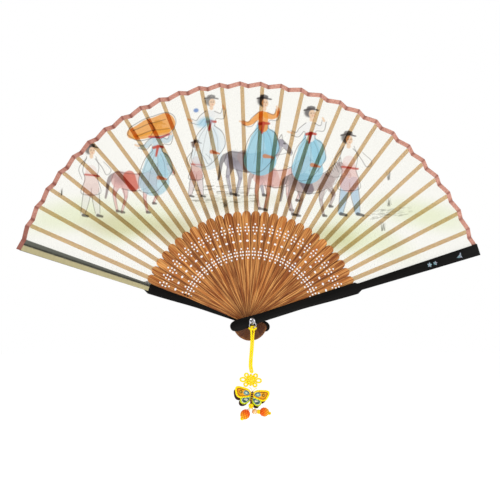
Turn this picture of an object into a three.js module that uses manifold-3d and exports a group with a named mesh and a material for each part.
// A folding hand fan, open: thirty members (28 bamboo sticks between two lacquered guards)
// turn on one rivet and carry a pleated silk leaf with a bound outer edge. A cord tassel with an
// endless knot, a padded butterfly and two berry pendants hangs from a ring on the rivet.
//
// Millimetres, +Z up. The rivet's axis is Y through the origin, the front faces -Y and the tassel
// hangs along -Z. Each member is drawn upright, as (across, along), and then turned about Y.
import * as THREE from 'three';
import { mergeVertices } from 'three/addons/utils/BufferGeometryUtils.js';
import Module from 'manifold-3d';

// ---- Driving dimensions ----
const STICKS = 28;
const SPREAD_DEG = 144;            // angle between the two guards
const FIRST_DEG = -71.5;           // rear guard's angle from straight up
const PITCH_DEG = SPREAD_DEG / (STICKS + 1);

const STICK_THICK = 0.7;
const STICK_PITCH = 0.75;          // step from one stick to the next through the stack
const GUARD_THICK = 3;
const GUARD_GAP = 0.4;             // room for the leaf between a guard and the next stick
const GUARD_BEVEL = 0.5;
const GUARD_END = 210.5;           // guard's outer end, from the rivet
const STACK_HALF = (STICKS * STICK_PITCH) / 2 + GUARD_GAP;

const HEAD_END = 16.8;             // how far a stick's head reaches behind the rivet
const GUARD_HEAD_END = 19.4;
const BLADE_TIP = 95.6;            // the blade's rounded end, where the slim rib starts
const RIB_END = 203;
const RIB_HALF_INNER = 1.8;
const RIB_HALF_OUTER = 1.4;

const LEAF_INNER = 96.2;
const LEAF_OUTER = 206.4;          // leaf's edge at a pleat's peak
const LEAF_THICK = 0.25;
const TAPE_WIDTH = 4;
const TAPE_THICK = 0.5;
const VALLEY_STEP_BACK = 2.6;      // a valley's edge lies this much nearer to the rivet
const SEAM_GAP = 0.3;              // between the leaf and its tape
const LAY_GAP = 0.05;              // between flat faces that lie on each other
const RIB_GAP = 0.12;              // between the leaf and the rib behind it
const LEAF_ROWS = 5;
const PANEL_SHARE = 0.415;         // share of the pitch taken by the panel that lies on the rib
const SLOPE_INNER = 0.09;          // how steeply that panel falls away from its peak
const SLOPE_OUTER = 0.4;

const PIN_RADIUS = 1.1;
const PIN_HOLE_RADIUS = 1.4;
const CAP_RADIUS = 3;
const CAP_HEIGHT = 1.8;
const EYE_RADIUS = 1.65;
const WIRE_RADIUS = 0.45;
const RING_RADIUS = 2.8;
const TASSEL_Y = -17.4;            // the plane that the ring and tassel hang in
const RING_TOP = -0.55;

const CORD_RADIUS = 0.8;
const CURVE_STEPS = 4;

const wasm = await Module();
wasm.setup();

const fan = new THREE.Group();

// ---- Materials ----
const finish = (color, roughness, metalness = 0) =>
  new THREE.MeshStandardMaterial({ color, roughness, metalness });
const FINISH = {
  lacquer: finish(0x141416, 0.25),
  bamboo: finish(0x8a4a24, 0.45),
  silk: finish(0xefeadb, 0.8),
  tape: finish(0xd08a78, 0.8),
  metal: finish(0xb9bcc2, 0.2, 1),
  pearl: finish(0xa9c9cf, 0.2),
  cord: finish(0xf0dc16, 0.75),
  goldCloth: finish(0xf0b020, 0.8),
  tealCloth: finish(0xdce8d8, 0.8),
  darkCloth: finish(0x2a1614, 0.85),
  berry: finish(0xf2641c, 0.7),
  amber: finish(0xd9a24a, 0.2),
  clear: finish(0xf1ebdd, 0.15),
};

// ---- Helpers ----
const radians = THREE.MathUtils.degToRad;
const mix = THREE.MathUtils.lerp;

/** Adds a geometry as a named mesh, to a group or to the fan itself. */
function addNode(name, geometry, material, parent = fan) {
  const mesh = new THREE.Mesh(geometry, material);
  mesh.name = name;
  parent.add(mesh);
  return mesh;
}

/** A flat outline of (across, along) raised to a plate that runs from y = back to back - thick. */
function plate(outline, back, thick, bevel = 0) {
  const geometry = new THREE.ExtrudeGeometry(outline, {
    depth: thick - 2 * bevel,
    curveSegments: CURVE_STEPS,
    bevelEnabled: bevel > 0,
    bevelThickness: bevel,
    bevelSize: bevel,
    bevelOffset: -bevel,
    bevelSegments: 1,
  });
  geometry.translate(0, 0, bevel);
  geometry.rotateX(Math.PI / 2);
  geometry.translate(0, back, 0);
  return geometry;
}

/** A closed outline from the path down its right side and the one down its left side. */
function outlineBetween(right, left) {
  const points = [...right.getPoints(CURVE_STEPS), ...left.getPoints(CURVE_STEPS).reverse()];
  const kept = points.filter((p, i) => i === 0 || p.distanceTo(points[i - 1]) > 0.01);
  return new THREE.Shape(kept);
}

function mirrored(path) {
  return { getPoints: (steps) => path.getPoints(steps).map((p) => new THREE.Vector2(-p.x, p.y)) };
}

function pinHole() {
  const hole = new THREE.Path();
  hole.absarc(0, 0, PIN_HOLE_RADIUS, 0, 2 * Math.PI, false);
  return hole;
}

/** A surface turned about Y from (radius, distance in front of the stack's middle) pairs. */
function turnedAboutY(profile, segments = 20) {
  const points = profile.map(([radius, front]) => new THREE.Vector2(radius, front));
  return new THREE.LatheGeometry(points, segments).rotateX(Math.PI);
}

function toSolid(geometry) {
  const bare = geometry.clone();
  bare.deleteAttribute('normal');
  bare.deleteAttribute('uv');
  const merged = mergeVertices(bare, 1e-4);
  const index = merged.index.array;
  const corners = [];
  for (let i = 0; i < index.length; i += 3) {
    const [a, b, c] = [index[i], index[i + 1], index[i + 2]];
    if (a !== b && b !== c && c !== a) corners.push(a, b, c);
  }
  return new wasm.Manifold(new wasm.Mesh({
    numProp: 3,
    vertProperties: new Float32Array(merged.attributes.position.array),
    triVerts: new Uint32Array(corners),
  }));
}

function toGeometry(solid) {
  const mesh = solid.getMesh();
  const geometry = new THREE.BufferGeometry();
  geometry.setAttribute('position', new THREE.BufferAttribute(mesh.vertProperties, 3));
  geometry.setIndex(new THREE.BufferAttribute(mesh.triVerts, 1));
  return geometry;
}

function union(...geometries) {
  const solids = geometries.map(toSolid);
  return toGeometry(solids.reduce((sum, solid) => sum.add(solid)));
}

// ---- Members: sticks and guards ----
const memberAngle = (k) => radians(FIRST_DEG + k * PITCH_DEG);
/** The y of the middle of stick k, from 1 (rear) to STICKS (front). */
const stickMiddle = (k) => ((STICKS + 1) / 2 - k) * STICK_PITCH;

// Each blade has an oval between two clusters of small holes, as [across, along, half width].
const OVAL = { along: 70.2, halfWidth: 1.2, halfLength: 0.9 };
const HOLE_RADIUS = 0.75;
const CLUSTER_ROWS = [[0], [-1, 1], [-1, 1], [0]];
const UPPER_CLUSTER = { outermost: 84.8, step: 2.85, halfGap: 1.4 };
const LOWER_CLUSTER = { outermost: 63.4, step: 2.75, halfGap: 1.05 };

function piercings() {
  const holes = [];
  for (const { outermost, step, halfGap } of [UPPER_CLUSTER, LOWER_CLUSTER]) {
    CLUSTER_ROWS.forEach((row, i) => row.forEach((side) => {
      const hole = new THREE.Path();
      hole.moveTo(side * halfGap + HOLE_RADIUS, outermost - i * step);
      hole.lineTo(side * halfGap, outermost - i * step + HOLE_RADIUS);
      hole.lineTo(side * halfGap - HOLE_RADIUS, outermost - i * step);
      hole.lineTo(side * halfGap, outermost - i * step - HOLE_RADIUS);
      hole.closePath();
      holes.push(hole);
    }));
  }
  const oval = new THREE.Path();
  oval.absellipse(0, OVAL.along, OVAL.halfWidth, OVAL.halfLength, 0, 2 * Math.PI, false);
  holes.push(new THREE.Path(oval.getPoints(6)));
  return holes;
}

function stickOutline() {
  const side = new THREE.Path();
  side.moveTo(RIB_HALF_OUTER, RIB_END);
  side.lineTo(RIB_HALF_INNER, BLADE_TIP - 0.2);
  side.quadraticCurveTo(4.2, BLADE_TIP - 0.2, 4.85, 88);
  side.bezierCurveTo(5.1, 82, 3.7, 72, 2.9, 60);
  side.lineTo(2.5, 30);
  side.lineTo(2.7, 4);
  side.bezierCurveTo(3, -3, 4.1, -5, 4.1, -10.5);
  side.quadraticCurveTo(4.1, -HEAD_END, 0, -HEAD_END);
  const outline = outlineBetween(side, mirrored(side));
  outline.holes.push(pinHole(), ...piercings());
  return outline;
}

/** The guard's edge away from the leaf, with a slanted shoulder where the leaf starts. */
function guardOuterEdge() {
  const edge = new THREE.Path();
  edge.moveTo(5.2, GUARD_END);
  edge.lineTo(4.4, 165);
  edge.lineTo(3.4, 118);
  edge.lineTo(3, 99.5);
  edge.lineTo(5.2, 95.5);
  edge.bezierCurveTo(4.9, 75, 3.5, 58, 3.2, 44);
  edge.lineTo(3.2, 10);
  edge.bezierCurveTo(3.2, 3, 4.6, -4, 4.7, -11);
  edge.quadraticCurveTo(4.7, -GUARD_HEAD_END, 0, -GUARD_HEAD_END);
  return edge;
}

/** The guard's edge beside the leaf, with a small notch at the same place. */
function guardLeafEdge() {
  const edge = new THREE.Path();
  edge.moveTo(-5.2, GUARD_END);
  edge.lineTo(-4.5, 165);
  edge.lineTo(-3.9, 118);
  edge.lineTo(-3.5, 100);
  edge.lineTo(-3.7, 97.5);
  edge.lineTo(-5.1, 95.5);
  edge.lineTo(-4.9, 45);
  edge.lineTo(-4.4, 12);
  edge.bezierCurveTo(-4.4, 2, -5.2, -5, -5.2, -11);
  edge.quadraticCurveTo(-5.2, -GUARD_HEAD_END, 0, -GUARD_HEAD_END);
  return edge;
}

/** A guard's outline; side is 1 where its outer edge is to the right, or -1. */
function guardOutline(side) {
  const [outer, inner] = [guardOuterEdge(), guardLeafEdge()];
  const outline = side > 0
    ? outlineBetween(outer, inner)
    : outlineBetween(mirrored(inner), mirrored(outer));
  outline.holes.push(pinHole());
  return outline;
}

function addMembers() {
  const rear = plate(guardOutline(-1), STACK_HALF + GUARD_THICK, GUARD_THICK, GUARD_BEVEL);
  addNode('guard_rear', rear, FINISH.lacquer).rotation.y = memberAngle(0);
  for (let k = 1; k <= STICKS; k += 1) {
    const back = stickMiddle(k) + STICK_THICK / 2;
    const name = `stick_${String(k).padStart(2, '0')}`;
    const stick = plate(stickOutline(), back, STICK_THICK);
    addNode(name, stick, FINISH.bamboo).rotation.y = memberAngle(k);
  }
  const front = new THREE.Group();
  front.rotation.y = memberAngle(STICKS + 1);
  fan.add(front);
  const guard = plate(guardOutline(1), -STACK_HALF, GUARD_THICK, GUARD_BEVEL);
  addNode('guard_front', guard, FINISH.lacquer, front);
  addInlays(front);
}

// ---- Pearl inlays on the front guard ----
function blossomOutline(along, radius) {
  const petals = 5;
  const shape = new THREE.Shape();
  for (let i = 0; i <= 4 * petals; i += 1) {
    const turn = (i / (4 * petals)) * 2 * Math.PI;
    const reach = radius * (0.78 + 0.22 * Math.cos(petals * turn));
    const point = [reach * Math.sin(turn), along + reach * Math.cos(turn)];
    if (i === 0) shape.moveTo(...point);
    else shape.lineTo(...point);
  }
  return shape;
}

/** A small bird in flight: a body with a tail, and one raised wing. */
function birdOutline(along) {
  const shape = new THREE.Shape();
  shape.moveTo(-2.6, along + 1.5);
  shape.quadraticCurveTo(-0.5, along + 0.4, 0.1, along - 1.2);
  shape.lineTo(1.2, along - 3);
  shape.lineTo(1.9, along - 1.2);
  shape.quadraticCurveTo(1.6, along + 0.4, 2.7, along + 2);
  shape.quadraticCurveTo(0.9, along + 1.9, 0.2, along + 1.1);
  shape.quadraticCurveTo(-0.9, along + 2.3, -2.6, along + 1.5);
  return shape;
}

function addInlays(front) {
  const back = -STACK_HALF - GUARD_THICK - LAY_GAP;
  const inlays = [
    ['inlay_bird', birdOutline(192)],
    ['inlay_blossom_outer', blossomOutline(169, 1.9)],
    ['inlay_blossom_inner', blossomOutline(163.8, 2.2)],
  ];
  for (const [name, outline] of inlays) {
    addNode(name, plate(outline, back, 0.15), FINISH.pearl, front);
  }
}

// ---- Leaf and edge tape ----
/** How much of the full pleat depth member k has: the pleats flatten out towards the guards. */
const pleatShare = (k) => THREE.MathUtils.clamp(Math.min(k / 5, (STICKS - k) / 4), 0, 1);

/** Where the leaf's back lies at one radius, as [turn from straight up, y] from left to right. */
function pleatLine(radius, thick) {
  const out = (radius - BLADE_TIP) / (GUARD_END - BLADE_TIP);
  const ribHalf = mix(RIB_HALF_INNER, RIB_HALF_OUTER, out);
  const guardHalf = mix(3, 5, out);
  const panel = PANEL_SHARE * radians(PITCH_DEG) * radius;
  const slope = mix(SLOPE_INNER, SLOPE_OUTER, out);
  const line = [];
  const rearY = STACK_HALF - LAY_GAP;
  line.push([memberAngle(0) - guardHalf / radius, rearY, 0]);
  line.push([memberAngle(0) + guardHalf / radius, rearY, 1]);
  for (let k = 1; k <= STICKS; k += 1) {
    const onRib = stickMiddle(k) - STICK_THICK / 2 - RIB_GAP;
    const fall = slope * pleatShare(k);
    line.push([memberAngle(k) - ribHalf / radius, onRib - fall * 2 * ribHalf, 0]);
    line.push([memberAngle(k) + (panel - ribHalf) / radius, onRib + fall * (panel - 2 * ribHalf), 1]);
  }
  const frontY = -STACK_HALF + LAY_GAP + thick;
  line.push([memberAngle(STICKS + 1) - guardHalf / radius, frontY, 0]);
  line.push([memberAngle(STICKS + 1) + guardHalf / radius, frontY, 0]);
  return line;
}

/** A closed pleated sheet between radii given at the peaks; valleys lie back by stepBack(row). */
function pleatedSheet(peakRadii, stepBacks, thick) {
  const positions = [];
  const columns = pleatLine(peakRadii[0], thick).length;
  for (const layer of [0, thick]) {
    peakRadii.forEach((peakRadius, row) => {
      for (let i = 0; i < columns; i += 1) {
        const isValley = pleatLine(peakRadius, thick)[i][2];
        const radius = peakRadius - isValley * stepBacks[row];
        const [turn, y] = pleatLine(radius, thick)[i];
        positions.push(radius * Math.sin(turn), y - layer, radius * Math.cos(turn));
      }
    });
  }
  const rows = peakRadii.length;
  const at = (layer, row, column) => (layer * rows + row) * columns + column;
  const faces = [];
  const quad = (a, b, c, d) => faces.push(a, b, c, a, c, d);
  for (let row = 0; row < rows - 1; row += 1) {
    for (let i = 0; i < columns - 1; i += 1) {
      quad(at(0, row, i), at(0, row + 1, i), at(0, row + 1, i + 1), at(0, row, i + 1));
      quad(at(1, row, i), at(1, row, i + 1), at(1, row + 1, i + 1), at(1, row + 1, i));
    }
    quad(at(0, row, 0), at(1, row, 0), at(1, row + 1, 0), at(0, row + 1, 0));
    const last = columns - 1;
    quad(at(0, row, last), at(0, row + 1, last), at(1, row + 1, last), at(1, row, last));
  }
  for (let i = 0; i < columns - 1; i += 1) {
    quad(at(0, 0, i), at(0, 0, i + 1), at(1, 0, i + 1), at(1, 0, i));
    const top = rows - 1;
    quad(at(0, top, i), at(1, top, i), at(1, top, i + 1), at(0, top, i + 1));
  }
  const geometry = new THREE.BufferGeometry();
  geometry.setAttribute('position', new THREE.Float32BufferAttribute(positions, 3));
  geometry.setIndex(faces);
  return geometry;
}

function addLeaf() {
  const rows = Array.from({ length: LEAF_ROWS }, (_, i) => i / (LEAF_ROWS - 1));
  const radii = rows.map((share) => mix(LEAF_INNER, LEAF_OUTER, share));
  const leaf = pleatedSheet(radii, rows.map((share) => share * VALLEY_STEP_BACK), LEAF_THICK);
  addNode('leaf', leaf, FINISH.silk);
  const tapeInner = LEAF_OUTER + SEAM_GAP;
  const tape = pleatedSheet(
    [tapeInner, tapeInner + TAPE_WIDTH], [VALLEY_STEP_BACK, VALLEY_STEP_BACK], TAPE_THICK);
  addNode('edge_tape', tape, FINISH.tape);
}

// ---- Rivet, eye and ring ----
const CAP_BACK = STACK_HALF + GUARD_THICK + 0.1;

function capGeometry() {
  const pinEnd = CAP_BACK + 0.6;
  return turnedAboutY([
    [PIN_HOLE_RADIUS, CAP_BACK],
    [CAP_RADIUS, CAP_BACK],
    [CAP_RADIUS, CAP_BACK + 0.5],
    [CAP_RADIUS * 0.85, CAP_BACK + 1.1],
    [CAP_RADIUS * 0.5, CAP_BACK + 1.6],
    [0, CAP_BACK + CAP_HEIGHT],
    [0, pinEnd],
    [PIN_HOLE_RADIUS, pinEnd],
    [PIN_HOLE_RADIUS, CAP_BACK],
  ]);
}

function addRivet() {
  const pinHalf = CAP_BACK + 0.3;
  const pin = new THREE.CylinderGeometry(PIN_RADIUS, PIN_RADIUS, 2 * pinHalf, 16);
  addNode('rivet_pin', pin, FINISH.metal);
  const eye = new THREE.TorusGeometry(EYE_RADIUS, WIRE_RADIUS, 8, 20);
  eye.rotateY(Math.PI / 2);
  eye.translate(0, TASSEL_Y, 0);
  addNode('rivet_front_cap', union(capGeometry(), eye), FINISH.metal);
  const rearCap = capGeometry().rotateZ(Math.PI);
  addNode('rivet_rear_cap', rearCap, FINISH.metal);
  const ring = new THREE.TorusGeometry(RING_RADIUS, WIRE_RADIUS, 8, 28);
  ring.rotateX(Math.PI / 2);
  ring.translate(0, TASSEL_Y, RING_TOP - RING_RADIUS);
  addNode('jump_ring', ring, FINISH.metal);
}

// ---- Tassel ----
/** A doubled cord: up through the ring's front, over its wire and down again behind. */
const CORD_ROUTE = [
  [-0.35, -0.5, -4.6], [-1.1, -1.3, -5.2], [-1.45, -1.5, -6.8], [-1.3, -1.05, -8.8],
  [-1.1, -0.5, -11.2], [-1.05, -0.15, -14], [-1.2, 0, -18], [-1.7, 0, -25],
  [-2.3, 0, -32], [-2.55, 0, -37.5], [-2.1, 0, -41.2], [-1.75, 0, -42.8], [-0.9, 0, -43.5],
  [-0.05, 0, -42.8], [-0.35, 0, -41.2], [-0.9, 0, -37.5], [-0.65, 0, -32],
  [-0.05, 0, -25], [0.45, 0, -18], [0.6, 0.15, -14], [0.85, 0.5, -11.2],
  [1.2, 1.05, -8.8], [1.45, 1.5, -6.8], [1.1, 1.3, -5.2], [0.35, 0.5, -4.6],
];

/** A round cord along hand-placed points, given as [x, y from the tassel's plane, z]. */
function cordAlong(route, radius, steps) {
  const points = route.map(([x, y, z]) => new THREE.Vector3(x, TASSEL_Y + y, z));
  const section = new THREE.Shape();
  section.absarc(0, 0, radius, 0, 2 * Math.PI, false);
  return new THREE.ExtrudeGeometry(section, {
    steps,
    curveSegments: 4,
    bevelEnabled: false,
    extrudePath: new THREE.CatmullRomCurve3(points),
  });
}

function ball(x, z, radius, stretch = 1, lean = 0) {
  const geometry = new THREE.SphereGeometry(radius, 12, 8);
  geometry.scale(1, 1, stretch);
  geometry.rotateY(lean);
  geometry.translate(x, TASSEL_Y, z);
  return geometry;
}

/** The endless knot's outer shape: a woven square with six ears. */
function knotOutline() {
  const ears = 6;
  const steps = 48;
  const shape = new THREE.Shape();
  for (let i = 0; i < steps; i += 1) {
    const turn = (i / steps) * 2 * Math.PI;
    const ear = 0.5 + 0.5 * Math.cos(ears * turn);
    const point = [(7.3 + 2.2 * ear) * Math.cos(turn), (4.4 + 1.5 * ear) * Math.sin(turn)];
    if (i === 0) shape.moveTo(...point);
    else shape.lineTo(...point);
  }
  return shape;
}

/** One upper wing, to the right of the body. */
function upperWing() {
  const shape = new THREE.Shape();
  shape.moveTo(1.3, 1.2);
  shape.lineTo(4.2, 5.2);
  shape.quadraticCurveTo(11, 7.4, 15.6, 6.6);
  shape.quadraticCurveTo(16, 4.4, 13.6, 2.6);
  shape.quadraticCurveTo(13.6, -2.2, 10, -2.6);
  shape.quadraticCurveTo(5, -1.6, 1.3, -0.4);
  shape.closePath();
  return shape;
}

/** One lower wing, to the right of the body. */
function lowerWing() {
  const shape = new THREE.Shape();
  shape.moveTo(1.3, -1.1);
  shape.quadraticCurveTo(5, -2.2, 8.8, -3.2);
  shape.quadraticCurveTo(9.6, -7, 7.2, -9.2);
  shape.quadraticCurveTo(3.6, -8.6, 1.3, -5);
  shape.closePath();
  return shape;
}

function mirroredShape(shape) {
  const points = shape.getPoints(CURVE_STEPS).map((p) => new THREE.Vector2(-p.x, p.y));
  return new THREE.Shape(points.reverse());
}

function addButterfly(group) {
  const depth = 6;
  const body = new THREE.Shape();
  body.absellipse(0, -1.6, 0.95, 5.6, 0, 2 * Math.PI);
  const pieces = [
    ['butterfly_wing_upper_left', mirroredShape(upperWing()), FINISH.goldCloth, 0.8],
    ['butterfly_wing_upper_right', upperWing(), FINISH.goldCloth, 0.8],
    ['butterfly_wing_lower_left', mirroredShape(lowerWing()), FINISH.tealCloth, 0.8],
    ['butterfly_wing_lower_right', lowerWing(), FINISH.tealCloth, 0.8],
    ['butterfly_body', body, FINISH.darkCloth, 0.3],
  ];
  for (const [name, outline, material, bevel] of pieces) {
    addNode(name, plate(outline, depth / 2, depth, bevel), material, group);
  }
}

function addTassel() {
  addNode('tassel_cord', cordAlong(CORD_ROUTE, CORD_RADIUS, 64), FINISH.cord);

  const knot = plate(knotOutline(), 1.7, 3.4, 0.6);
  knot.rotateY(radians(4));
  knot.translate(-1.6, TASSEL_Y, -49.9);
  addNode('endless_knot', knot, FINISH.cord);

  const butterfly = new THREE.Group();
  butterfly.position.set(-0.9, TASSEL_Y, -62.9);
  butterfly.rotation.y = radians(9);
  fan.add(butterfly);
  addButterfly(butterfly);

  addNode('tassel_knot', ball(-1.4, -71.8, 1.7), FINISH.cord);
  addNode('pendant_left_bead', ball(-3.2, -74.7, 1.4), FINISH.clear);
  addNode('pendant_left_berry', ball(-6.7, -79.2, 3.6, 1.15, radians(35)), FINISH.berry);
  addNode('pendant_left_tip', ball(-10.1, -83.3, 1), FINISH.cord);
  addNode('pendant_right_bead', ball(1.7, -76.4, 2.4), FINISH.amber);
  addNode('pendant_right_cap', ball(5.2, -76.6, 0.8), FINISH.cord);
  addNode('pendant_right_berry', ball(10.2, -76.9, 3.6, 1.1, radians(80)), FINISH.berry);
  addNode('pendant_right_tip', ball(15.2, -77.7, 0.9), FINISH.cord);
}

addMembers();
addLeaf();
addRivet();
addTassel();

export default fan;
